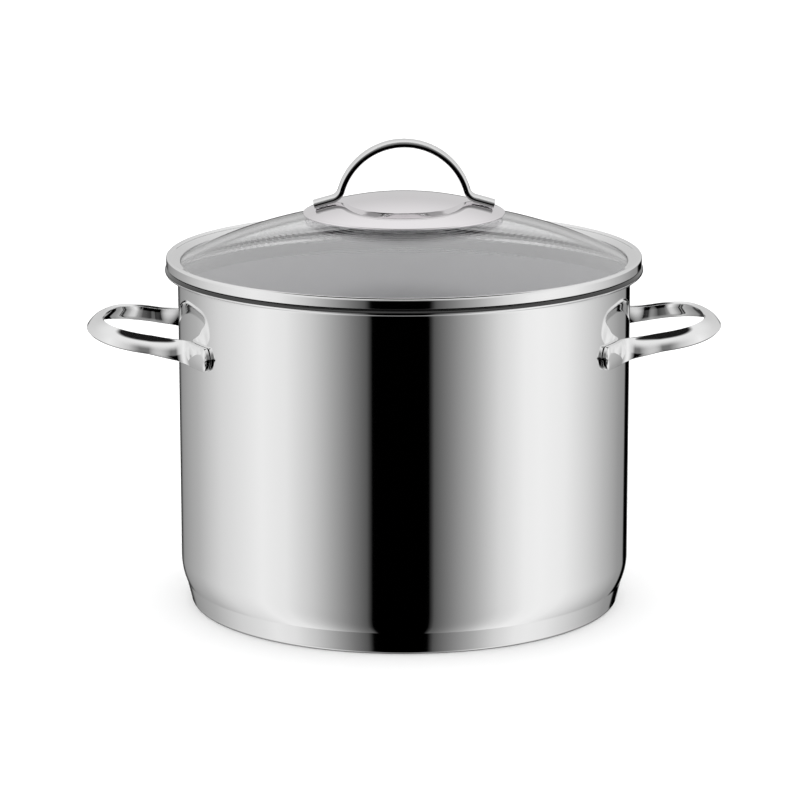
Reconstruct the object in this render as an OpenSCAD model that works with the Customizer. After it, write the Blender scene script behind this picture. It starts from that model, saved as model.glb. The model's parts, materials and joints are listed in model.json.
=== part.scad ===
// Stock pot with a domed glass lid: deep-drawn steel body, encapsulated base, two loop
// handles and a lid with a steel rim and a bow handle.
// Millimetres, +Z up. The origin is the centre of the base on the surface it stands on;
// the side handles lie along X.

/* [Pot] */
// Outer radius of the pot wall
pot_r = 121; // [119:0.5:123]
// Thickness of the pot sheet
wall = 1; // [0.8:0.1:1.2]
// Height of the rolled pouring lip above the surface it stands on
rim_z = 183.3; // [180:0.1:190]
// Height of the underside of the drawn bottom
bottom_z = 5; // [4.5:0.5:6]
// Outer radius of the wide curve where the wall begins to turn in
turn_r = 33; // [30:0.5:35]
// Height where that curve begins
turn_z = 25; // [24:0.5:26]
// Outer radius of the flare under the lip
flare_r = 5.5; // [5:0.25:6]
// Radius of the bead rolled into the lip
bead_r = 1.8; // [1.2:0.1:2]

/* [Base] */
// Height of the steel cap that encloses the core
cap_z = 12; // [11:0.5:13]
// Radius of the cap at its lower edge
cap_r = 115.9; // [115.5:0.1:116.6]
// Thickness of the cap sheet
cap_wall = 0.8; // [0.6:0.1:1]

/* [Side handles] */
// Thickness of the handle strap along its edges
strap_t = 2.2; // [1.8:0.1:2.6]
// Height of the crown along the middle of the strap's outer face
strap_crown = 1; // [0.6:0.1:1.4]
// Height of the middle of the handle feet
foot_z = 144.4; // [140:0.1:150]
// Width of the strap at its feet
foot_w = 12.7; // [11:0.1:13.5]
// Width of the strap on the legs and round the tip of the loop
leg_w = 10.2; // [9:0.1:11.5]
// Distance of the strap's centre line from the pot axis at the tip
tip_x = 165.4; // [160:0.2:168]
// Lean of the strap at the end of the straight legs, in degrees
leg_lean = 30; // [20:1:35]
// Lean of the strap towards the pot at the tip, in degrees
tip_lean = 54; // [40:1:60]

/* [Lid] */
// Radius of the sphere that the glass dome is cut from
dome_r = 270; // [260:1:280]
// Height of the top of the dome
dome_z = 213.6; // [213:0.1:214.5]
// Thickness of the glass
glass_t = 3.5; // [3:0.1:3.8]
// Radius of the glass at its edge
glass_r = 120.2; // [119:0.1:120.4]
// Outer radius of the steel rim
band_r = 127.1; // [126.5:0.1:127.5]
// Height of the top of the steel rim
band_z = 189.2; // [188.5:0.1:190]

/* [Lid handle] */
// Radius of the cover disc under the handle
disc_r = 53.9; // [48:0.1:56]
// Radius of the sphere that the cover disc is cut from
disc_dome_r = 160; // [150:1:170]
// Height of the top of the cover disc
disc_z = 220.7; // [220.2:0.1:221.5]
// Thickness of the bow strap along its edges
bow_t = 3; // [2:0.1:3.2]
// Height of the crown along the middle of the bow's outer face
bow_crown = 0.9; // [0.6:0.1:1.8]
// Width of the bow strap
bow_w = 11.6; // [10:0.1:13]
// Radius of the bow's inner face
bow_r = 32.8; // [32:0.1:35]
// Height of the centre of the bow's arc
bow_z = 213.8; // [213:0.1:214.5]
// Half length of the bow from foot end to foot end
bow_reach = 47.5; // [46:0.5:50]

/* [Hidden] */

$fn = 96;
dome_fn = 1440;          // for the large arcs of the glass and the cover disc
tall = 400;              // larger than any height or radius here
steel = "gainsboro";
polished = "silver";
rubber = "dimgray";

// Pot: the wall turns in along a wide curve and then round a tight corner inside the base.
pot_in_r = pot_r - wall;
turn_x = pot_r - turn_r;
turn_angle = 25;         // angle of the wide curve
corner_r = (turn_z - bottom_z - turn_r * sin(turn_angle)) / (1 - sin(turn_angle));
corner_x = turn_x + (turn_r - corner_r) * cos(turn_angle);
corner_z = bottom_z + corner_r;
flare_x = pot_r + flare_r;
flare_z = rim_z - wall - flare_r;
bead_x = flare_x - 0.5;

// Base
cap_fillet = 2;
seam_r = turn_x + sqrt(pow(turn_r, 2) - pow(turn_z - cap_z, 2));

// Side handles: the centre line runs round the wall, bends outwards, follows a straight leg
// and rounds the tip as a superellipse.
weld_gap = 0.4;
weld_fit = 0.02;         // the welds stay this far inside the flats of the strap
foot_r = pot_r + weld_gap + strap_t / 2;
foot_end_angle = 32.7;
foot_bend_angle = 23.5;
foot_end_r = 9.5;        // radius of the rounded end of each foot, seen face on
foot_end_len = 2.2;
foot_end_steps = 5;
bend_r = 10;
leg_x0 = (foot_r + bend_r) * cos(foot_bend_angle);
leg_y0 = (foot_r + bend_r) * sin(foot_bend_angle) - bend_r;
tip_x0 = 136;
tip_y0 = 40;
tip_power = 2.3;
rise = 0.16;             // rise of the loop per millimetre of reach
rise_x = 113;            // distance from the pot axis where the rise begins
strap_edge = 0.4;        // chamfer of the strap's long edges
foot_steps = 6;
bend_steps = 12;
leg_steps = 6;
tip_steps = 26;          // even, from one leg to the other
weld_angle = 27.5;       // middle of each weld, from the X axis
weld_len = 9;
weld_h = 7;

// Lid
dome_c = dome_z - dome_r;
function sphere_z(r, c, at) = c + sqrt(pow(r, 2) - pow(at, 2));
function glass_under(at) = sphere_z(dome_r - glass_t, dome_c, at);
glass_hole_r = 5;
glass_under_z = dome_z - glass_t;
sheet = 0.6;             // sheet of the steel rim
roll_r = 1.4;            // outer radius of the rolled top of the rim
roll_x = band_r - roll_r;
roll_z = band_z - roll_r;
band_foot_z = rim_z + 0.1;
hem_r = 0.7;             // round lower edge of the rim
tongue_r = glass_r - 0.5;
tongue_z = sphere_z(dome_r, dome_c, tongue_r);
skirt_r = glass_r + 0.9;
skirt_z = glass_under(glass_r) - 0.1;
ledge_r = glass_r - 2;
mouth_r = ledge_r - 2;   // inside of both lips that hold the glass
glass_edge_z = sphere_z(dome_r, dome_c, glass_r);

// Lid fittings, from the cover disc down
disc_t = 0.8;
disc_c = disc_z - disc_dome_r;
disc_edge_r = 0.5;
boss_r = 8;
gasket_r = 12;
sleeve_r = 3.2;          // bore of the silicone round the screw
gasket_top_z = dome_z + 1.2;
screw_r = 2.5;
screw_top_z = 218.2;
cup_r = 25;
cup_rim_z = glass_under_z - 2.2;
cup_floor_r = 12;
cup_floor_z = 204.3;
cup_t = 0.8;
cup_brim_r = 20;         // radius where the cup washer's slope meets its flat brim
cup_skew = 0.3;          // shift of the slope's underside, so that the sheet keeps its thickness
ring_in_r = 19;          // lower gasket
ring_out_r = 25.5;
lock_t = 0.9;
lock_r = 5.2;
head_r = 8.5;
head_low_r = 6.5;
head_h = 3;
slot_w = 1.6;
slot_d = 1.4;

// Bow handle: the inner face of its strap follows an arc over the top, a tight bend the other
// way above each foot and a straight foot parallel to the cover disc.
foot_slope = 16;         // slope of the cover disc under the bow's feet
bow_gap = 0.4;
bow_edge = 0.4;          // chamfer of the strap's lower edges
bend_out_r = 9;          // radius of the inner face in the bend above each foot
bow_lift = disc_dome_r + bow_gap;
bend_reach = bow_r + bend_out_r;
bow_drop = bow_lift + bend_out_r - (bow_z - disc_c) * cos(foot_slope);
bow_start = asin(bow_drop / bend_reach) - foot_slope;
bend_cx = bend_reach * cos(bow_start);
bend_cz = bow_z + bend_reach * sin(bow_start);
bow_steps = 22;          // from one end of the arc to its top
bow_bend_steps = 7;
bow_weld_r = 3.2;

// ---------- pot ----------

// Half section of the lower part of the drawn body up to turn_z, filled in and shrunk by inset.
module turned_in(inset) {
    far = 2 * turn_r;
    intersection() {
        translate([turn_x, turn_z]) circle(turn_r - inset);
        polygon([
            [turn_x, turn_z], [turn_x + far, turn_z],
            [turn_x + far, turn_z - far * tan(turn_angle)]
        ]);
    }
    translate([corner_x, corner_z]) circle(corner_r - inset);
    polygon([
        [0, bottom_z + inset], [corner_x, bottom_z + inset], [corner_x, corner_z],
        [turn_x, turn_z], [0, turn_z]
    ]);
}

// Half section of the space the drawn body takes up, filled in.
module pot_outline() {
    difference() {
        union() {
            turned_in(0);
            translate([0, turn_z]) square([pot_r, rim_z - turn_z]);
            translate([0, flare_z]) square([flare_x, rim_z - flare_z]);
        }
        translate([flare_x, flare_z]) circle(flare_r);
    }
    translate([bead_x, rim_z - bead_r]) circle(bead_r);
}

// Half section of the space inside the pot, open at the top.
module pot_inside() {
    difference() {
        union() {
            turned_in(wall);
            translate([0, turn_z]) square([pot_in_r, tall]);
            translate([0, flare_z]) square([flare_x, tall]);
        }
        translate([flare_x, flare_z]) circle(flare_r + wall);
    }
}

module pot_body() {
    color(steel)
    rotate_extrude() difference() {
        pot_outline();
        pot_inside();
    }
}

// ---------- base ----------

// Half section of the base, shrunk by inset on the outside and cut off at the seam.
module base_outline(inset) {
    r = cap_r - inset;
    f = cap_fillet - inset / 2;
    union() {
        translate([0, inset]) square([r - f, cap_z - inset]);
        translate([r - f, inset + f]) circle(f);
        polygon([
            [r - f, inset + f], [r, inset + f],
            [seam_r - inset, cap_z], [r - f, cap_z]
        ]);
    }
}

module base_cap() {
    color(steel)
    rotate_extrude() difference() {
        base_outline(0);
        base_outline(cap_wall);
        pot_outline();
    }
}

module base_core() {
    color("darkgray")
    rotate_extrude() difference() {
        base_outline(cap_wall);
        pot_outline();
    }
}

// ---------- side handles ----------

// Closed skin through a list of rings of points, all with the same count.
module loft(rings) {
    count = len(rings[0]);
    last = len(rings) - 1;
    sides = [
        for (i = [0:last - 1], j = [0:count - 1])
        let (
            k = (j + 1) % count,
            a = i * count,
            b = a + count
        )
        [a + j, b + j, b + k, a + k]
    ];
    first_end = [for (j = [0:count - 1]) j];
    last_end = [for (j = [count - 1:-1:0]) last * count + j];
    polyhedron([for (r = rings) each r], concat(sides, [first_end, last_end]), convexity = 10);
}

function smooth(t) = t * t * (3 - 2 * t);
function side(a) = a < 0 ? -1 : 1;

// Plan of the half loop with y > 0, from the foot end to just before the tip.
function foot_point(a) = [foot_r * cos(a), foot_r * sin(a)];
function bend_point(i) =
    let (a = (foot_bend_angle - 180) + (90 - foot_bend_angle) * i / bend_steps)
    [leg_x0 + bend_r * cos(a), leg_y0 + bend_r + bend_r * sin(a)];
function leg_point(i) =
    let (t = i / leg_steps)
    [leg_x0 + (tip_x0 - leg_x0) * t, leg_y0 + (tip_y0 - leg_y0) * smooth(t)];
function tip_point(i) =
    let (a = 90 - 180 * i / tip_steps)
    [
        tip_x0 + (tip_x - tip_x0) * pow(cos(a), 2 / tip_power),
        side(a) * tip_y0 * pow(abs(sin(a)), 2 / tip_power)
    ];

// Lengths along the foot of the stations that round its end, and half widths there.
foot_end_s = [for (i = [1:foot_end_steps]) foot_end_len * pow(i / foot_end_steps, 2)];
foot_end_half = [for (s = foot_end_s) sqrt(pow(foot_end_r, 2) - pow(foot_end_r - s, 2))];
foot_start_angle = foot_end_angle - foot_end_len / foot_r * 180 / PI;

half_plan = concat(
    [for (s = foot_end_s) foot_point(foot_end_angle - s / foot_r * 180 / PI)],
    [
        for (i = [1:foot_steps])
        foot_point(foot_start_angle + (foot_bend_angle - foot_start_angle) * i / foot_steps)
    ],
    [for (i = [1:bend_steps]) bend_point(i)],
    [for (i = [1:leg_steps]) leg_point(i)]
);
half_count = len(half_plan);
plan = concat(
    half_plan,
    [for (i = [1:tip_steps - 1]) tip_point(i)],
    [for (i = [1:half_count]) let (p = half_plan[half_count - i]) [p[0], -p[1]]]
);
plan_count = len(plan);

// The width and the lean change from the end of the foot to the end of the leg.
foot_x = foot_r * cos(foot_bend_angle);
function reach(x) = max(0, min(1, (x - foot_x) / (tip_x0 - foot_x)));
function past(x) = max(0, min(1, (x - tip_x0) / (tip_x - tip_x0)));
function ease(t) = t * (2 - t);
function full_half(x) = (foot_w + (leg_w - foot_w) * ease(reach(x))) / 2;
function strap_half(i) =
    let (from_end = min(i, plan_count - 1 - i))
    from_end < foot_end_steps ?
        min(foot_end_half[from_end], foot_w / 2) :
        full_half(plan[i][0]);
function strap_lean(x) =
    leg_lean * ease(reach(x)) + (tip_lean - leg_lean) * pow(past(x), tip_power);
function strap_z(x) = foot_z + rise * max(0, x - rise_x);

// Unit vector that points out of the loop, level, at station i.
function outward(i) =
    i == 0 ? [cos(foot_end_angle), sin(foot_end_angle)] :
    i == plan_count - 1 ? [cos(foot_end_angle), -sin(foot_end_angle)] :
    let (d = plan[i + 1] - plan[i - 1])
    [-d[1], d[0]] / norm(d);

// Corners of a strap's section: across (towards the upper edge) and outwards. The inner face
// is flat and the outer face is crowned.
function strap_section(half, edge, t, crown) =
    let (flat = half - min(edge, half / 2))
    [
        [half, t - edge], [flat, t],
        for (k = [2:-1:-2]) [k * half / 3, t + crown * (1 - pow(k / 3, 2))],
        [-flat, t], [-half, t - edge], [-half, edge], [-flat, 0], [flat, 0], [half, edge]
    ];

function strap_ring(i) =
    let (
        p = plan[i],
        n = outward(i),
        t = strap_lean(p[0]),
        z = strap_z(p[0])
    )
    [
        for (q = strap_section(strap_half(i), strap_edge, strap_t, strap_crown))
        let (up = q[0], over = q[1] - strap_t / 2, out = over * cos(t) - up * sin(t))
        [p[0] + n[0] * out, p[1] + n[1] * out, z + up * cos(t) + over * sin(t)]
    ];

module handle_strap() {
    loft([for (i = [0:plan_count - 1]) strap_ring(i)]);
}

module handle_right() {
    color(polished) handle_strap();
}

module handle_left() {
    color(polished) mirror([1, 0, 0]) handle_strap();
}

// Weld metal between the two feet of one handle and the wall.
module handle_welds(turn) {
    color(steel)
    for (a = [-weld_angle, weld_angle])
        intersection() {
            difference() {
                cylinder(h = tall, r = pot_r + weld_gap - weld_fit);
                translate([0, 0, -1]) cylinder(h = tall + 2, r = pot_r);
            }
            rotate([0, 0, turn + a])
                translate([pot_r - 5, -weld_len / 2, foot_z - weld_h / 2])
                    cube([10, weld_len, weld_h]);
        }
}

module handle_welds_right() { handle_welds(0); }

module handle_welds_left() { handle_welds(180); }

// ---------- lid ----------

// Half section of everything under a sphere with its centre at height c, out to reach_r.
module under_sphere(r, c, reach_r) {
    intersection() {
        translate([0, c]) circle(r, $fn = dome_fn);
        square([reach_r, tall]);
    }
}

// Half section of the glass pane with its central hole.
module glass_outline() {
    difference() {
        under_sphere(dome_r, dome_c, glass_r);
        under_sphere(dome_r - glass_t, dome_c, glass_r + 1);
        square([glass_hole_r, tall]);
    }
}

module lid_glass() {
    color("lightblue", 0.4)
    rotate_extrude() glass_outline();
}

// Half section of the rim, filled in. The tongue slopes from the roll to the glass.
module band_outline() {
    polygon([
        [skirt_r, band_foot_z], [band_r - hem_r, band_foot_z], [band_r, band_foot_z + hem_r],
        [band_r, roll_z], [roll_x, band_z],
        [roll_x - roll_r * sin(45), roll_z + roll_r * cos(45)],
        [roll_x - roll_r, roll_z], [tongue_r, tongue_z + sheet], [tongue_r, tongue_z],
        [ledge_r, skirt_z], [ledge_r, skirt_z - sheet], [skirt_r, skirt_z - sheet]
    ]);
    translate([roll_x, roll_z]) circle(roll_r);
    translate([band_r - hem_r, band_foot_z + hem_r]) circle(hem_r);
}

// The hollow of the rim, open towards the glass.
module band_hollow() {
    polygon([
        [skirt_r - sheet, band_foot_z + sheet], [band_r - sheet, band_foot_z + sheet],
        [band_r - sheet, roll_z], [roll_x - roll_r, roll_z - sheet], [tongue_r, tongue_z],
        [mouth_r, tongue_z], [mouth_r, skirt_z], [skirt_r - sheet, skirt_z]
    ]);
    translate([roll_x, roll_z]) circle(roll_r - sheet);
}

module lid_band() {
    color(polished)
    rotate_extrude() difference() {
        band_outline();
        band_hollow();
    }
}

// Silicone bedding between the rim and the edge of the glass.
module lid_seal() {
    color(rubber)
    rotate_extrude() polygon([
        [ledge_r, skirt_z], [skirt_r - sheet, skirt_z],
        [skirt_r - sheet, glass_edge_z], [glass_r, glass_edge_z],
        [glass_r, glass_under(glass_r)], [ledge_r, glass_under(ledge_r)]
    ]);
}

// ---------- lid handle ----------

module lid_disc() {
    edge_x = disc_r - disc_edge_r;
    edge_z = sphere_z(disc_dome_r, disc_c, edge_x) - disc_edge_r;
    color(polished)
    rotate_extrude() union() {
        difference() {
            under_sphere(disc_dome_r, disc_c, edge_x);
            under_sphere(disc_dome_r - disc_t, disc_c, disc_r + 1);
        }
        translate([edge_x, edge_z]) circle(disc_edge_r);
    }
}

// Stations of the right half of the bow, from the foot end to the top: a point on the inner
// face, as [x, z], and the angle of the outward normal there.
bow_foot_end =
    let (a = 90 - foot_slope, x = bow_reach)
    [[x, disc_c + (bow_lift - x * cos(a)) / sin(a)], a];
bow_bend = [
    for (i = [0:bow_bend_steps])
    let (a = 90 - foot_slope + (bow_start + foot_slope - 90) * i / bow_bend_steps)
    [[bend_cx - bend_out_r * cos(a), bend_cz - bend_out_r * sin(a)], a]
];
bow_arc = [
    for (i = [1:bow_steps])
    let (a = bow_start + (90 - bow_start) * i / bow_steps)
    [[bow_r * cos(a), bow_z + bow_r * sin(a)], a]
];
bow_right = concat([bow_foot_end], bow_bend, bow_arc);
bow_left = [
    for (i = [1:len(bow_right) - 1])
    let (s = bow_right[len(bow_right) - 1 - i])
    [[-s[0][0], s[0][1]], 180 - s[1]]
];

bow_section = strap_section(bow_w / 2, bow_edge, bow_t, bow_crown);

module lid_handle() {
    color(polished)
    loft([
        for (s = concat(bow_right, bow_left))
        [for (q = bow_section) [s[0][0] + q[1] * cos(s[1]), -q[0], s[0][1] + q[1] * sin(s[1])]]
    ]);
}

// Weld metal between the feet of the bow and the cover disc.
module lid_handle_welds() {
    color(steel)
    for (turn = [-foot_slope, foot_slope])
        translate([0, 0, disc_c]) rotate([0, turn, 0])
            translate([0, 0, disc_dome_r]) cylinder(h = bow_gap, r = bow_weld_r);
}

// Threaded boss welded under the cover disc; the screw from below runs into it.
module lid_boss() {
    color(steel)
    rotate_extrude() difference() {
        intersection() {
            translate([0, gasket_top_z]) square([boss_r, tall]);
            under_sphere(disc_dome_r - disc_t, disc_c, boss_r);
        }
        square([screw_r, screw_top_z]);
    }
}

module upper_gasket() {
    color(rubber)
    rotate_extrude()
        translate([sleeve_r, dome_z]) square([gasket_r - sleeve_r, gasket_top_z - dome_z]);
}

module glass_bushing() {
    color(rubber)
    rotate_extrude() intersection() {
        difference() {
            under_sphere(dome_r, dome_c, glass_hole_r);
            under_sphere(dome_r - glass_t, dome_c, glass_hole_r);
        }
        translate([sleeve_r, 0]) square([glass_hole_r - sleeve_r, tall]);
    }
}

module lower_gasket() {
    color(rubber)
    rotate_extrude() polygon([
        [ring_in_r, cup_rim_z], [ring_out_r, cup_rim_z],
        [ring_out_r, glass_under(ring_out_r)], [ring_in_r, glass_under(ring_in_r)]
    ]);
}

module cup_washer() {
    color(steel)
    rotate_extrude() polygon([
        [screw_r, cup_floor_z], [cup_floor_r, cup_floor_z],
        [cup_brim_r, cup_rim_z], [cup_r, cup_rim_z],
        [cup_r, cup_rim_z - cup_t], [cup_brim_r + cup_skew, cup_rim_z - cup_t],
        [cup_floor_r + cup_skew, cup_floor_z - cup_t], [screw_r, cup_floor_z - cup_t]
    ]);
}

module lock_washer() {
    color("darkgray")
    rotate_extrude()
        translate([screw_r, cup_floor_z - cup_t - lock_t]) square([lock_r - screw_r, lock_t]);
}

module lid_screw() {
    under_head_z = cup_floor_z - cup_t - lock_t;
    color("darkgray")
    difference() {
        union() {
            translate([0, 0, under_head_z - 1])
                cylinder(h = screw_top_z - under_head_z + 1, r = screw_r);
            translate([0, 0, under_head_z - head_h])
                cylinder(h = head_h, r1 = head_low_r, r2 = head_r);
        }
        translate([-head_r, -slot_w / 2, under_head_z - head_h - 1])
            cube([2 * head_r, slot_w, slot_d + 1]);
    }
}

pot_body();
base_core();
base_cap();
handle_left();
handle_right();
handle_welds_left();
handle_welds_right();
lid_glass();
lid_band();
lid_seal();
lid_disc();
lid_handle();
lid_handle_welds();
lid_boss();
upper_gasket();
glass_bushing();
lower_gasket();
cup_washer();
lock_washer();
lid_screw();
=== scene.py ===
"""Looks of the stock pot: a polished steel pot with a domed glass lid.

Every curved steel or glass piece is turned or swept here from the same dimensions as the CAD
part, in millimetres, and made into a fine smooth mesh in metres. The small fittings keep their
CAD meshes and get better materials.
"""
import json
import math

import bpy
from mathutils import Matrix, Vector


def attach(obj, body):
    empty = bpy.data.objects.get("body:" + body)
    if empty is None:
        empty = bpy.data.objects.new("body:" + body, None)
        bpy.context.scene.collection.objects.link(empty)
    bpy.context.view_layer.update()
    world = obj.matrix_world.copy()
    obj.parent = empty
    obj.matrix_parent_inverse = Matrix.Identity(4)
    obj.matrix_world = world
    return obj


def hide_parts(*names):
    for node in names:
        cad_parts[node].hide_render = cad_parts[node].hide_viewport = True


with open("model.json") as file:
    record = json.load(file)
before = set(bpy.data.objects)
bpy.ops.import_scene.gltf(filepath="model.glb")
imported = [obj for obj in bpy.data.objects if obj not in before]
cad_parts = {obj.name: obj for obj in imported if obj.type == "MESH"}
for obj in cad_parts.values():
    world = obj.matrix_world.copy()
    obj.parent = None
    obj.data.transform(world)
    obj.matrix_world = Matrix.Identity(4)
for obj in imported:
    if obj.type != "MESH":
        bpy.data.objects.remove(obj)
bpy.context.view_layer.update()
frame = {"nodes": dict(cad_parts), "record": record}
nodes = frame["nodes"]

MM = 0.001
TURNS = 288              # facets round a turned piece

# Pot
POT_R = 121
WALL = 1
RIM_Z = 183.3
BOTTOM_Z = 5
TURN_R = 33
TURN_Z = 25
TURN_ANGLE = 25
FLARE_R = 5.5
BEAD_R = 1.8
BEAD_IN = 0.5            # how far the bead's centre lies inside the flare's
POT_IN_R = POT_R - WALL
TURN_X = POT_R - TURN_R
TURN_SIN = math.sin(math.radians(TURN_ANGLE))
CORNER_R = (TURN_Z - BOTTOM_Z - TURN_R * TURN_SIN) / (1 - TURN_SIN)
CORNER_X = TURN_X + (TURN_R - CORNER_R) * math.cos(math.radians(TURN_ANGLE))
CORNER_Z = BOTTOM_Z + CORNER_R
FLARE_X = POT_R + FLARE_R
FLARE_Z = RIM_Z - WALL - FLARE_R
BEAD_X = FLARE_X - BEAD_IN
SATIN_Z = 170            # the inside is satin below this height and polished above it
# The third slot is painted shade: near-black steel on the upper half of the lip's bead.
POLISHED, SATIN, PAINTED_SHADE = range(3)     # material slots of the pot

# Base
CAP_Z = 12
CAP_R = 115.9
CAP_WALL = 0.8
CAP_FILLET = 2
CAP_LAP = 1.03           # how far under the seam the cap's inside meets the pot's wall
SEAM_R = TURN_X + math.sqrt(TURN_R ** 2 - (TURN_Z - CAP_Z) ** 2)

# Side handles
STRAP_T = 2.2
STRAP_CROWN = 1
STRAP_EDGE = 0.4
FOOT_Z = 144.4
FOOT_W = 12.7
LEG_W = 10.2
TIP_X = 165.4
LEG_LEAN = 30
TIP_LEAN = 54
WELD_GAP = 0.4
FOOT_R = POT_R + WELD_GAP + STRAP_T / 2
FOOT_END_ANGLE = 32.7
FOOT_BEND_ANGLE = 23.5
FOOT_END_R = 9.5
FOOT_END_LEN = 2.2
BEND_R = 10
LEG_X0 = (FOOT_R + BEND_R) * math.cos(math.radians(FOOT_BEND_ANGLE))
LEG_Y0 = (FOOT_R + BEND_R) * math.sin(math.radians(FOOT_BEND_ANGLE)) - BEND_R
FOOT_X = FOOT_R * math.cos(math.radians(FOOT_BEND_ANGLE))
TIP_X0 = 136
TIP_Y0 = 40
TIP_POWER = 2.3
RISE = 0.16
RISE_X = 113

# Lid
DOME_R = 270
DOME_Z = 213.6
GLASS_T = 3.5
GLASS_R = 120.2
GLASS_HOLE_R = 5
BAND_R = 127.1
BAND_Z = 189.2
REST_GAP = 0.1           # between the pot's lip and the rim that stands over it
BAND_FOOT_Z = RIM_Z + REST_GAP
HEM_R = 0.7
SHEET = 0.6
ROLL_R = 1.4
DOME_C = DOME_Z - DOME_R
TONGUE_R = GLASS_R - 0.5
SKIRT_R = GLASS_R + 0.9
LEDGE_R = GLASS_R - 2
SEAT_GAP = 0.1           # between the glass and the ledge under it

# Lid handle
DISC_R = 53.9
DISC_DOME_R = 160
DISC_Z = 220.7
DISC_T = 0.8
DISC_EDGE_R = 0.5
BOW_T = 3
BOW_CROWN = 0.9
BOW_EDGE = 0.4
BOW_W = 11.6
BOW_R = 32.8
BOW_Z = 213.8
BOW_REACH = 47.5
BOW_BEND_R = 9
BOW_GAP = 0.4
FOOT_SLOPE = 16
DISC_C = DISC_Z - DISC_DOME_R


# ---------- camera, in metres and degrees ----------

CAMERA_PLACE = Vector((-0.0329, -1.9029, 0.5410))
CAMERA_YAW = 0.922
CAMERA_PITCH = 12.81
CAMERA_ROLL = -0.07
CAMERA_LENS = 162.7


def make_camera():
    data = bpy.data.cameras.new("camera")
    data.lens = CAMERA_LENS
    data.sensor_width = 36
    data.clip_end = 100
    camera = bpy.data.objects.new("camera", data)
    bpy.context.scene.collection.objects.link(camera)
    turn = Matrix.Rotation(math.radians(-CAMERA_YAW), 4, "Z")
    turn @= Matrix.Rotation(math.radians(90 - CAMERA_PITCH), 4, "X")
    turn @= Matrix.Rotation(math.radians(CAMERA_ROLL), 4, "Z")
    camera.matrix_world = Matrix.Translation(CAMERA_PLACE) @ turn
    bpy.context.scene.camera = camera


# ---------- mesh tools ----------

def make_object(name, points, faces, face_slots=None, sharp=30):
    """Smooth-shaded object from points in millimetres."""
    mesh = bpy.data.meshes.new(name)
    mesh.from_pydata([Vector(p) * MM for p in points], [], faces)
    if face_slots:
        mesh.polygons.foreach_set("material_index", face_slots)
    mesh.polygons.foreach_set("use_smooth", [True] * len(faces))
    mesh.set_sharp_from_angle(angle=math.radians(sharp))
    mesh.update()
    piece = bpy.data.objects.new(name, mesh)
    bpy.context.scene.collection.objects.link(piece)
    return piece


def arc(cx, cz, r, start, end, steps=12):
    """Points along an arc, from one angle in degrees to another."""
    angles = [math.radians(start + (end - start) * i / steps) for i in range(steps + 1)]
    return [(cx + r * math.cos(a), cz + r * math.sin(a)) for a in angles]


def dome_height(r, c, x):
    """Height of a sphere at distance x from the axis, with its centre on the axis at height c."""
    return c + math.sqrt(r * r - x * x)


def dome_arc(r, c, x0, x1, steps=40):
    """Points along a sphere's section, from one distance from the axis to another."""
    xs = [x0 + (x1 - x0) * i / steps for i in range(steps + 1)]
    return [(x, dome_height(r, c, x)) for x in xs]


def tidy_profile(profile, gap=0.35):
    """Drops repeated points, and adds points near the ends of long straight stretches.

    The added points keep the shading of a long flat face free of its neighbours' bend.
    """
    clean = [profile[0]]
    for p in profile[1:]:
        if math.dist(p, clean[-1]) > 1e-4:
            clean.append(p)
    out = [clean[0]]
    for a, b in zip(clean, clean[1:]):
        length = math.dist(a, b)
        if length > 6 * gap:
            for part in (gap / length, 1 - gap / length):
                out.append((a[0] + (b[0] - a[0]) * part, a[1] + (b[1] - a[1]) * part))
        out.append(b)
    return out


def turned(name, profile, closed, slot_of=None, turns=TURNS):
    """Piece of revolution. A profile that isn't closed starts and ends on the axis."""
    area = sum(a[0] * b[1] - b[0] * a[1] for a, b in zip(profile, profile[1:] + profile[:1]))
    if area < 0:
        profile = profile[::-1]
    profile = tidy_profile(profile + profile[:1] if closed else profile)
    if closed:
        profile = profile[:-1]
    points = []
    rings = []
    for x, z in profile:
        if x < 1e-6:
            rings.append([len(points)] * turns)
            points.append((0, 0, z))
            continue
        rings.append(list(range(len(points), len(points) + turns)))
        for k in range(turns):
            a = 2 * math.pi * k / turns
            points.append((x * math.cos(a), x * math.sin(a), z))
    faces = []
    slots = []
    pairs = list(zip(range(len(rings)), range(1, len(rings))))
    if closed:
        pairs.append((len(rings) - 1, 0))
    for i, j in pairs:
        middle = tuple((a + b) / 2 for a, b in zip(profile[i], profile[j]))
        slot = slot_of(*middle) if slot_of else 0
        for k in range(turns):
            m = (k + 1) % turns
            loop = [rings[i][k], rings[i][m], rings[j][m], rings[j][k]]
            face = list(dict.fromkeys(loop))
            if len(face) > 2:
                faces.append(face)
                slots.append(slot)
    return make_object(name, points, faces, slots)


def strap_section(half, edge, t, crown, steps=12, corner=4):
    """Corners of a strap's section: across and outwards, with round edges and a crowned face."""
    edge_a = min(edge, half / 2)
    flat = half - edge_a
    quarter = [math.radians(90 * i / corner) for i in range(corner + 1)]
    rounding = [(edge_a * math.cos(a), edge * math.sin(a)) for a in quarter]
    out = [(flat + a, t - edge + b) for a, b in rounding]
    for i in range(1, steps):
        u = 1 - 2 * i / steps
        out.append((flat * u, t + crown * (1 - u * u)))
    out += [(-flat - a, t - edge + b) for a, b in reversed(rounding)]
    out += [(-flat - a, edge - b) for a, b in rounding]
    for i in range(1, 4):
        out.append((-flat + flat * i / 2, 0))
    out += [(flat + a, edge - b) for a, b in reversed(rounding)]
    return out


def swept(name, rings, sharp=40):
    """Closed skin through rings of points, all with the same count."""
    count = len(rings[0])
    points = [p for ring in rings for p in ring]
    faces = []
    for i in range(len(rings) - 1):
        for j in range(count):
            k = (j + 1) % count
            faces.append([i * count + j, (i + 1) * count + j, (i + 1) * count + k, i * count + k])
    faces.append(list(range(count)))
    last = (len(rings) - 1) * count
    faces.append([last + j for j in reversed(range(count))])
    return make_object(name, points, faces, sharp=sharp)


# ---------- materials ----------

# Painted light: the inside glows faintly, standing for the light that the satin walls throw on
# each other.
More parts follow.
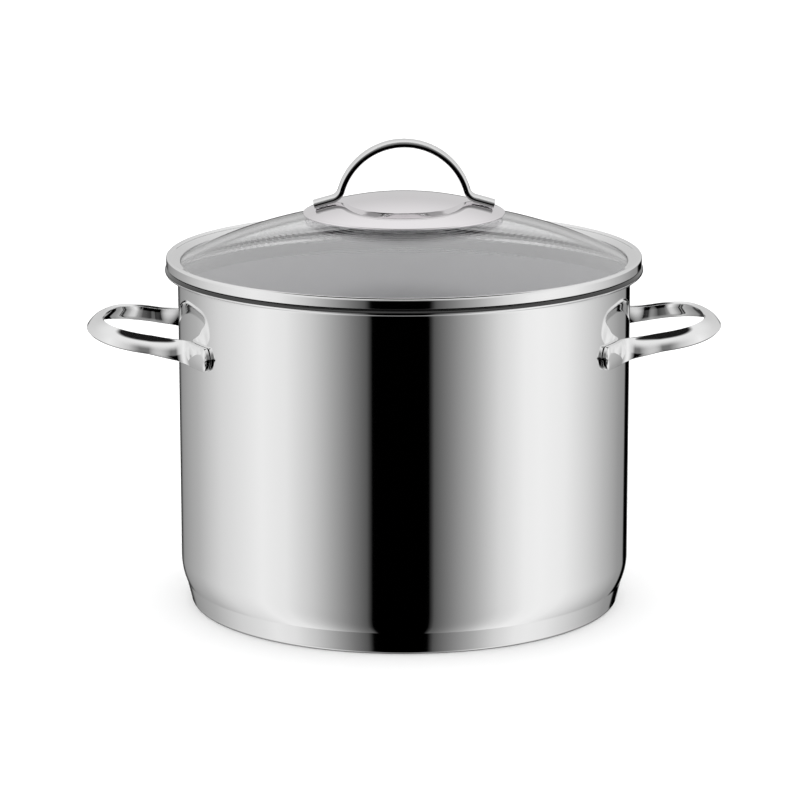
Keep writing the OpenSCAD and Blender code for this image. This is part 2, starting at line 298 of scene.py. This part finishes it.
INSIDE_PAINTED_GLOW = 0.06       # light that the satin walls throw on each other
GLASS_CLEAR = (0.985, 0.985, 0.99, 1)
GLASS_DARK = (0.02, 0.02, 0.02, 1)
GRAZE_START = 0.86       # slant of the view at which the glass starts to darken
GRAZE_END = 0.90         # and at which it is dark


class Nodes:
    """A material and a short way to add nodes to it."""

    def __init__(self, name):
        self.material = bpy.data.materials.new(name)
        self.material.use_nodes = True
        self.tree = self.material.node_tree
        self.shader = self.tree.nodes["Principled BSDF"]

    def add(self, kind, **values):
        node = self.tree.nodes.new(kind)
        for key, value in values.items():
            if hasattr(node, key):
                setattr(node, key, value)
            else:
                node.inputs[key.replace("_", " ")].default_value = value
        return node

    def link(self, a, b):
        self.tree.links.new(a, b)

    def set(self, **values):
        for key, value in values.items():
            self.shader.inputs[key.replace("_", " ")].default_value = value


def place(n, scale=(1, 1, 1)):
    """Object coordinates in metres, stretched by a scale for each axis."""
    where = n.add("ShaderNodeTexCoord")
    mapping = n.add("ShaderNodeMapping")
    mapping.inputs["Scale"].default_value = scale
    n.link(where.outputs["Object"], mapping.inputs["Vector"])
    return mapping.outputs["Vector"]


def vary_roughness(n, noise, low, high):
    spread = n.add("ShaderNodeMapRange")
    spread.inputs["To Min"].default_value = low
    spread.inputs["To Max"].default_value = high
    n.link(noise.outputs["Fac"], spread.inputs["Value"])
    n.link(spread.outputs["Result"], n.shader.inputs["Roughness"])


def steel(name, colour, rough, rough_change, grain=(1, 1, 1), grain_scale=600, wave=0.0):
    """Stainless steel: roughness varies with a fine grain, and the sheet can be slightly wavy."""
    n = Nodes(name)
    n.set(Base_Color=(*colour, 1), Metallic=1.0)
    fine = n.add("ShaderNodeTexNoise", Scale=grain_scale, Detail=3.0)
    n.link(place(n, grain), fine.inputs["Vector"])
    vary_roughness(n, fine, rough - rough_change, rough + rough_change)
    if wave:
        slow = n.add("ShaderNodeTexNoise", Scale=9.0, Detail=1.0)
        n.link(place(n), slow.inputs["Vector"])
        bump = n.add("ShaderNodeBump", Strength=1.0, Distance=wave)
        n.link(slow.outputs["Fac"], bump.inputs["Height"])
        n.link(bump.outputs["Normal"], n.shader.inputs["Normal"])
    return n.material


def glass():
    """Clear tempered glass, dark where the view grazes it; its smoothness varies slightly."""
    n = Nodes("lid_glass_look")
    n.set(IOR=1.5, Transmission_Weight=1.0)
    slow = n.add("ShaderNodeTexNoise", Scale=60.0, Detail=2.0)
    n.link(place(n), slow.inputs["Vector"])
    vary_roughness(n, slow, 0.0, 0.02)
    slant = n.add("ShaderNodeLayerWeight", Blend=0.5)
    tint = n.add("ShaderNodeValToRGB")
    clear, dark = tint.color_ramp.elements
    clear.position = GRAZE_START
    clear.color = GLASS_CLEAR
    dark.position = GRAZE_END
    dark.color = GLASS_DARK
    n.link(slant.outputs["Facing"], tint.inputs["Fac"])
    n.link(tint.outputs["Color"], n.shader.inputs["Base Color"])
    return n.material


def satin_inside_with_painted_glow():
    """The inside of the pot: satin steel, with a painted glow that stands for the light its own
    walls throw about.
    """
    look = steel("body_inside", (0.93, 0.93, 0.94), 0.42, 0.02, grain=(1, 1, 24), grain_scale=140)
    shader = look.node_tree.nodes["Principled BSDF"]
    shader.inputs["Emission Color"].default_value = (1, 1, 1, 1)
    shader.inputs["Emission Strength"].default_value = INSIDE_PAINTED_GLOW
    return look


def silicone():
    n = Nodes("silicone_look")
    fine = n.add("ShaderNodeTexNoise", Scale=900.0, Detail=2.0)
    n.link(place(n), fine.inputs["Vector"])
    tone = n.add("ShaderNodeValToRGB")
    tone.color_ramp.elements[0].color = (0.035, 0.035, 0.036, 1)
    tone.color_ramp.elements[1].color = (0.055, 0.055, 0.057, 1)
    n.link(fine.outputs["Fac"], tone.inputs["Fac"])
    n.link(tone.outputs["Color"], n.shader.inputs["Base Color"])
    n.set(Roughness=0.55)
    return n.material


MATERIALS = {
    "polished_body": steel("body_outside", (0.93, 0.93, 0.93), 0.045, 0.01, wave=0.00001),
    "body_inside": satin_inside_with_painted_glow(),
    # Painted shade: near-black steel on the upper half of the lip's bead. It stands for the dark
    # gap under the lid's rim, and it shows from every side, also with the lid off.
    "lip_painted_shade": steel("lip_painted_shade_look", (0.08, 0.08, 0.08), 0.15, 0.03),
    "base_steel": steel("base_outside", (0.88, 0.88, 0.88), 0.06, 0.015),
    "core_aluminium": steel("core_look", (0.80, 0.80, 0.81), 0.4, 0.05),
    "handle_steel": steel("handle_look", (0.93, 0.93, 0.93), 0.05, 0.012),
    "weld_steel": steel("weld_look", (0.55, 0.55, 0.56), 0.35, 0.08),
    "lid_glass": glass(),
    "rim_steel": steel("rim_look", (0.92, 0.92, 0.92), 0.06, 0.015),
    "silicone": silicone(),
    "disc_steel": steel("disc_look", (0.95, 0.92, 0.94), 0.03, 0.008),
    "fitting_steel": steel("fitting_look", (0.72, 0.72, 0.73), 0.22, 0.05,
                           grain=(1, 1, 8), grain_scale=300),
}
SLOT_OF_NODE = {p["node"]: p["material_slot"] for p in frame["record"]["subparts"]}


def finish_piece(piece, body, node, extra=()):
    """Gives a piece its materials, attaches it to the body that carries it, and hides the CAD node
    it takes the place of.
    """
    for key in (SLOT_OF_NODE[node], *extra):
        piece.data.materials.append(MATERIALS[key])
    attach(piece, body)
    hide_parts(node)


def finish_node(node):
    """Gives a CAD node its material."""
    look = MATERIALS[SLOT_OF_NODE[node]]
    thing = nodes[node]
    if not thing.material_slots:
        thing.data.materials.append(look)
    for slot in thing.material_slots:
        slot.material = look


# ---------- pot ----------

def pot_profile():
    """From the axis under the bottom, up the outside, over the lip and down the inside."""
    outside = [(0, BOTTOM_Z)]
    outside += arc(CORNER_X, CORNER_Z, CORNER_R, -90, -TURN_ANGLE, 12)
    outside += arc(TURN_X, TURN_Z, TURN_R, -TURN_ANGLE, 0, 16)
    outside += arc(FLARE_X, FLARE_Z, FLARE_R, 180, 115, 12)
    bead = arc(BEAD_X, RIM_Z - BEAD_R, BEAD_R, -190, 90, 24)
    inside = arc(FLARE_X, FLARE_Z, FLARE_R + WALL, 95, 180, 14)
    inside.append((POT_IN_R, SATIN_Z))
    inside += arc(TURN_X, TURN_Z, TURN_R - WALL, 0, -TURN_ANGLE, 16)
    inside += arc(CORNER_X, CORNER_Z, CORNER_R - WALL, -TURN_ANGLE, -90, 12)
    inside.append((0, BOTTOM_Z + WALL))
    return outside + bead + inside


def pot_slot(x, z):
    """Material slot of a stretch of the pot; the bead's upper half gets near-black painted shade.
    """
    above_bead = z - (RIM_Z - BEAD_R)
    if above_bead > 0 and math.hypot(x - BEAD_X, above_bead) < BEAD_R + 0.1:
        return PAINTED_SHADE
    if z > SATIN_Z:
        return POLISHED
    if z > TURN_Z:
        return SATIN if x < POT_R - WALL / 2 else POLISHED
    if z > TURN_Z - (x - TURN_X) * TURN_SIN / math.cos(math.radians(TURN_ANGLE)):
        depth = TURN_R - math.hypot(x - TURN_X, z - TURN_Z)
    else:
        depth = CORNER_R - math.hypot(max(0, x - CORNER_X), CORNER_Z - z)
    return SATIN if depth > WALL / 2 else POLISHED


def make_pot():
    piece = turned("pot_shell", pot_profile(), closed=False, slot_of=pot_slot)
    # The last slot paints shade on the upper half of the lip's bead.
    finish_piece(piece, "pot", "pot_body", extra=("body_inside", "lip_painted_shade"))


def base_curve(inset):
    """The base's outside, shrunk by inset, from the axis up to the seam."""
    r = CAP_R - inset
    f = CAP_FILLET - inset / 2
    return [(0, inset)] + arc(r - f, inset + f, f, -90, 0, 8)


def make_base_cap():
    meet_z = CAP_Z - CAP_LAP
    meet_x = TURN_X + math.sqrt(TURN_R ** 2 - (TURN_Z - meet_z) ** 2)
    profile = base_curve(0) + [(SEAM_R, CAP_Z), (meet_x, meet_z)] + base_curve(CAP_WALL)[::-1]
    piece = turned("base_shell", profile, closed=False)
    finish_piece(piece, "pot", "base_cap")


# ---------- side handles ----------

def polar(r, degrees):
    """Point at a distance and an angle from the origin."""
    a = math.radians(degrees)
    return (r * math.cos(a), r * math.sin(a))


def smooth(t):
    """Eases 0 to 1 with a level start and end."""
    return t * t * (3 - 2 * t)


def strap_plan(end_steps=14, foot_steps=16, bend_steps=40, leg_steps=24, tip_steps=120):
    """Plan of the loop's centre line, with the half width at each station of the round ends."""
    degrees = math.degrees(1 / FOOT_R)
    first = 0.004        # keeps the first ring from closing to a point
    lengths = [
        first + (FOOT_END_LEN - first) * (i / (end_steps - 1)) ** 2 for i in range(end_steps)
    ]
    halves = [math.sqrt(FOOT_END_R ** 2 - (FOOT_END_R - s) ** 2) for s in lengths]
    half_plan = [polar(FOOT_R, FOOT_END_ANGLE - s * degrees) for s in lengths]
    start = FOOT_END_ANGLE - FOOT_END_LEN * degrees
    for i in range(1, foot_steps + 1):
        half_plan.append(polar(FOOT_R, start + (FOOT_BEND_ANGLE - start) * i / foot_steps))
    for i in range(1, bend_steps + 1):
        x, y = polar(BEND_R, FOOT_BEND_ANGLE - 180 + (90 - FOOT_BEND_ANGLE) * i / bend_steps)
        half_plan.append((LEG_X0 + x, LEG_Y0 + BEND_R + y))
    for i in range(1, leg_steps + 1):
        t = i / leg_steps
        half_plan.append((LEG_X0 + (TIP_X0 - LEG_X0) * t, LEG_Y0 + (TIP_Y0 - LEG_Y0) * smooth(t)))
    tip = []
    for i in range(1, tip_steps):
        a = math.radians(90 - 180 * i / tip_steps)
        y = math.copysign(TIP_Y0 * abs(math.sin(a)) ** (2 / TIP_POWER), a)
        tip.append((TIP_X0 + (TIP_X - TIP_X0) * math.cos(a) ** (2 / TIP_POWER), y))
    plan = half_plan + tip + [(x, -y) for x, y in reversed(half_plan)]
    return plan, halves


def fraction(x, low, high):
    """How far x is on the way from low to high, kept between 0 and 1."""
    return max(0, min(1, (x - low) / (high - low)))


def strap_rings():
    """Sections of the right handle, which leans outwards more and more towards its tip."""
    plan, halves = strap_plan()
    rings = []
    for i, (x, y) in enumerate(plan):
        from_end = min(i, len(plan) - 1 - i)
        reach = fraction(x, FOOT_X, TIP_X0)
        ease = reach * (2 - reach)
        half = (FOOT_W + (LEG_W - FOOT_W) * ease) / 2
        if from_end < len(halves):
            half = min(halves[from_end], half)
        lean = LEG_LEAN * ease + (TIP_LEAN - LEG_LEAN) * fraction(x, TIP_X0, TIP_X) ** TIP_POWER
        lean = math.radians(lean)
        z = FOOT_Z + RISE * max(0, x - RISE_X)
        if from_end == 0:
            turn = math.copysign(math.radians(FOOT_END_ANGLE), y)
            normal = Vector((math.cos(turn), math.sin(turn)))
        else:
            along = Vector(plan[i + 1]) - Vector(plan[i - 1])
            normal = Vector((-along.y, along.x)).normalized()
        ring = []
        for up, over in strap_section(half, STRAP_EDGE, STRAP_T, STRAP_CROWN):
            over -= STRAP_T / 2
            out = over * math.cos(lean) - up * math.sin(lean)
            height = z + up * math.cos(lean) + over * math.sin(lean)
            ring.append((x + normal.x * out, y + normal.y * out, height))
        rings.append(ring)
    return rings


def make_side_handles():
    rings = strap_rings()
    right = swept("strap_right", rings)
    finish_piece(right, "pot", "handle_right")
    mirrored = [[(-x, y, z) for x, y, z in reversed(ring)] for ring in rings]
    left = swept("strap_left", mirrored)
    finish_piece(left, "pot", "handle_left")


# ---------- lid ----------

def make_glass():
    top = dome_arc(DOME_R, DOME_C, GLASS_HOLE_R, GLASS_R, 48)
    under = dome_arc(DOME_R - GLASS_T, DOME_C, GLASS_R, GLASS_HOLE_R, 48)
    piece = turned("glass_pane", top + under, closed=True)
    finish_piece(piece, "lid", "lid_glass")


def make_band():
    """The rolled steel rim: a wall, a rolled top, a tongue to the glass and a skirt under it."""
    roll_x = BAND_R - ROLL_R
    roll_z = BAND_Z - ROLL_R
    tongue_z = dome_height(DOME_R, DOME_C, TONGUE_R)
    skirt_z = dome_height(DOME_R - GLASS_T, DOME_C, GLASS_R) - SEAT_GAP
    outside = [(SKIRT_R, BAND_FOOT_Z)]
    outside += arc(BAND_R - HEM_R, BAND_FOOT_Z + HEM_R, HEM_R, -90, 0, 8)
    outside += arc(roll_x, roll_z, ROLL_R, 0, 180, 24)
    outside += [(TONGUE_R, tongue_z + SHEET), (TONGUE_R, tongue_z)]
    inside = [(roll_x - ROLL_R, roll_z - SHEET), (BAND_R - SHEET, roll_z)]
    inside += [(BAND_R - SHEET, BAND_FOOT_Z + SHEET), (SKIRT_R - SHEET, BAND_FOOT_Z + SHEET)]
    inside += [(SKIRT_R - SHEET, skirt_z), (LEDGE_R, skirt_z), (LEDGE_R, skirt_z - SHEET)]
    inside += [(SKIRT_R, skirt_z - SHEET)]
    piece = turned("rim_shell", outside + inside, closed=True)
    finish_piece(piece, "lid", "lid_band")


def make_disc():
    edge_x = DISC_R - DISC_EDGE_R
    edge_z = dome_height(DISC_DOME_R, DISC_C, edge_x) - DISC_EDGE_R
    profile = dome_arc(DISC_DOME_R, DISC_C, 0, edge_x, 40)
    profile += arc(edge_x, edge_z, DISC_EDGE_R, 70, -90, 10)
    profile += dome_arc(DISC_DOME_R - DISC_T, DISC_C, edge_x - 0.6, 0, 30)
    piece = turned("disc_shell", profile, closed=False)
    finish_piece(piece, "lid", "lid_disc")


# ---------- bow handle ----------

def bow_stations(bend_steps=20, arc_steps=60):
    """Points on the bow's inner face, as (x, z), and the angle of the outward normal."""
    lift = DISC_DOME_R + BOW_GAP
    slope = math.radians(FOOT_SLOPE)
    reach = BOW_R + BOW_BEND_R
    drop = lift + BOW_BEND_R - (BOW_Z - DISC_C) * math.cos(slope)
    start = math.degrees(math.asin(drop / reach)) - FOOT_SLOPE
    bend_x, bend_z = polar(reach, start)
    bend_z += BOW_Z
    end = 90 - FOOT_SLOPE
    end_cos, end_sin = polar(1, end)
    right = []
    bend_top = bend_x - BOW_BEND_R * end_cos
    for i in range(4):
        x = BOW_REACH + (bend_top - BOW_REACH) * i / 4
        right.append(((x, DISC_C + (lift - x * end_cos) / end_sin), end))
    for i in range(bend_steps + 1):
        a = end + (start - end) * i / bend_steps
        x, z = polar(BOW_BEND_R, a)
        right.append(((bend_x - x, bend_z - z), a))
    for i in range(1, arc_steps + 1):
        a = start + (90 - start) * i / arc_steps
        x, z = polar(BOW_R, a)
        right.append(((x, BOW_Z + z), a))
    left = [((-x, z), 180 - a) for (x, z), a in reversed(right[:-1])]
    return right + left


def make_bow():
    section = strap_section(BOW_W / 2, BOW_EDGE, BOW_T, BOW_CROWN)
    rings = []
    for (x, z), angle in bow_stations():
        out_x, out_z = polar(1, angle)
        rings.append([(x + over * out_x, -across, z + over * out_z) for across, over in section])
    piece = swept("bow_strap", rings)
    finish_piece(piece, "lid", "lid_handle")


# ---------- studio ----------

# Brightness of the studio seen in reflections, by angle in degrees to the side of the front. Below
# the horizon a black panel stands in front, soft panels on both sides and dark flags behind. Above
# it a dark gap in front is lost higher up in an even sky, which ends at a black ceiling.
STUDIO_LOW = [
    (-180, 0.01), (-166, 0.06), (-160, 0.28), (-132, 0.45), (-108, 0.70), (-78, 0.89),
    (-63, 0.83), (-49, 0.62), (-36, 0.36), (-27, 0.20), (-19, 0.085), (-17.5, 0.0),
    (12.0, 0.0), (13.5, 0.085), (22, 0.21), (35, 0.43), (48, 0.71), (62, 0.89), (72, 0.92),
    (88, 0.87), (106, 0.68), (121, 0.51), (141, 0.32), (152, 0.28), (154, 0.0), (166, 0.0),
    (169, 0.4), (173, 0.5), (175, 0.01), (180, 0.01),
]
STUDIO_HIGH = [
    (-180, 0.60), (-150, 0.66), (-110, 0.76), (-78, 0.90), (-49, 0.75), (-30, 0.60), (-8, 0.18),
    (8, 0.18), (30, 0.60), (49, 0.75), (78, 0.92), (110, 0.76), (150, 0.66), (180, 0.60),
]
SKY_GREY = 0.84
FLOOR_GREY = 0.3
CEILING_GREY = 0.01
WALL_VIEW = 0.974        # cosine of the height angle at which the pot wall mirrors the studio
SIDE_SHARE = 0.55        # how far, in front, the studio is laid out by width instead of azimuth
SIDE_FADE = 1.6          # how fast that share fades in from the sides to the front
FLOOR_EDGE = (-0.99, -0.93)      # direction heights where one level gives way to the next
HORIZON = (-0.12, 0.0)
SKY_EDGE = (0.25, 0.75)
CEILING_EDGE = (0.80, 0.90)
FLOOR_LIGHT = 1.6        # brightness of the even light that falls on matt surfaces
FLOOR_HALF = 12.0        # half the floor's width, in metres


class Shading:
    """Short ways to build the world's node tree."""

    def __init__(self, tree):
        self.tree = tree

    def math(self, operation, *values, clamp=False):
        node = self.tree.nodes.new("ShaderNodeMath")
        node.operation = operation
        node.use_clamp = clamp
        for socket, value in zip(node.inputs, values):
            if isinstance(value, (int, float)):
                socket.default_value = value
            else:
                self.tree.links.new(value, socket)
        return node.outputs["Value"]

    def grey(self, value):
        node = self.tree.nodes.new("ShaderNodeRGB")
        node.outputs["Color"].default_value = (value, value, value, 1)
        return node.outputs["Color"]

    def ramp(self, level, stops):
        node = self.tree.nodes.new("ShaderNodeValToRGB")
        elements = node.color_ramp.elements
        elements.remove(elements[-1])
        for i, (angle, grey) in enumerate(stops):
            at = (angle + 180) / 360
            element = elements[0] if i == 0 else elements.new(at)
            element.position = at
            element.color = (grey, grey, grey, 1)
        self.tree.links.new(level, node.inputs["Fac"])
        return node.outputs["Color"]

    def blend(self, height, limits, below, above):
        step = self.tree.nodes.new("ShaderNodeMapRange")
        step.interpolation_type = "SMOOTHSTEP"
        step.inputs["From Min"].default_value = limits[0]
        step.inputs["From Max"].default_value = limits[1]
        self.tree.links.new(height, step.inputs["Value"])
        mix = self.tree.nodes.new("ShaderNodeMix")
        mix.data_type = "RGBA"
        self.tree.links.new(step.outputs["Result"], mix.inputs["Factor"])
        self.tree.links.new(below, mix.inputs["A"])
        self.tree.links.new(above, mix.inputs["B"])
        return mix.outputs["Result"]

    def background(self, strength, colour=None):
        node = self.tree.nodes.new("ShaderNodeBackground")
        node.inputs["Color"].default_value = (1, 1, 1, 1)
        if colour:
            self.tree.links.new(colour, node.inputs["Color"])
        if isinstance(strength, (int, float)):
            node.inputs["Strength"].default_value = strength
        else:
            self.tree.links.new(strength, node.inputs["Strength"])
        return node.outputs["Background"]


def make_world():
    """Mirrors see the studio; everything else sees an even white one."""
    world = bpy.data.worlds.new("studio")
    world.use_nodes = True
    bpy.context.scene.world = world
    tree = world.node_tree
    tree.nodes.clear()
    n = Shading(tree)

    where = tree.nodes.new("ShaderNodeTexCoord")
    parts = tree.nodes.new("ShaderNodeSeparateXYZ")
    tree.links.new(where.outputs["Generated"], parts.inputs["Vector"])
    azimuth = n.math("ARCTAN2", parts.outputs["X"], n.math("MULTIPLY", parts.outputs["Y"], -1.0))
    sideways = n.math("DIVIDE", parts.outputs["X"], WALL_VIEW)
    sideways = n.math("MAXIMUM", n.math("MINIMUM", sideways, 1.0), -1.0)
    lateral = n.math("ARCSINE", sideways)
    frontal = n.math("MULTIPLY", parts.outputs["Y"], -SIDE_FADE, clamp=True)
    share = n.math("MULTIPLY", frontal, SIDE_SHARE)
    angle = n.math("MULTIPLY_ADD", n.math("SUBTRACT", lateral, azimuth), share, azimuth)
    level = n.math("MULTIPLY_ADD", angle, 0.5 / math.pi, 0.5)

    height = parts.outputs["Z"]
    low = n.blend(height, FLOOR_EDGE, n.grey(FLOOR_GREY), n.ramp(level, STUDIO_LOW))
    high = n.blend(height, SKY_EDGE, n.ramp(level, STUDIO_HIGH), n.grey(SKY_GREY))
    high = n.blend(height, CEILING_EDGE, high, n.grey(CEILING_GREY))
    colour = n.blend(height, HORIZON, low, high)

    path = tree.nodes.new("ShaderNodeLightPath")
    shown = n.background(1.0, colour)
    matt = n.math("MULTIPLY_ADD", path.outputs["Is Diffuse Ray"], FLOOR_LIGHT - 1, 1.0)
    even = n.background(matt)
    choose = tree.nodes.new("ShaderNodeMixShader")
    tree.links.new(path.outputs["Is Glossy Ray"], choose.inputs["Fac"])
    tree.links.new(even, choose.inputs[1])
    tree.links.new(shown, choose.inputs[2])
    output = tree.nodes.new("ShaderNodeOutputWorld")
    tree.links.new(choose.outputs["Shader"], output.inputs["Surface"])


def make_floor():
    signs = ((-1, -1), (1, -1), (1, 1), (-1, 1))
    corners = [(x * FLOOR_HALF, y * FLOOR_HALF, 0) for x, y in signs]
    mesh = bpy.data.meshes.new("floor")
    mesh.from_pydata(corners, [], [(0, 1, 2, 3)])
    floor = bpy.data.objects.new("floor", mesh)
    bpy.context.scene.collection.objects.link(floor)
    n = Nodes("floor_look")
    n.set(Base_Color=(0.92, 0.92, 0.92, 1), Roughness=0.9)
    fine = n.add("ShaderNodeTexNoise", Scale=300.0, Detail=2.0)
    n.link(place(n), fine.inputs["Vector"])
    bump = n.add("ShaderNodeBump", Strength=0.1, Distance=0.0001)
    n.link(fine.outputs["Fac"], bump.inputs["Height"])
    n.link(bump.outputs["Normal"], n.shader.inputs["Normal"])
    mesh.materials.append(n.material)
    floor.visible_glossy = False


def main():
    make_camera()
    make_pot()
    make_base_cap()
    make_side_handles()
    make_glass()
    make_band()
    make_disc()
    make_bow()
    for node in SLOT_OF_NODE:
        finish_node(node)
    make_world()
    make_floor()
    bpy.context.scene.view_settings.view_transform = "Standard"


main()
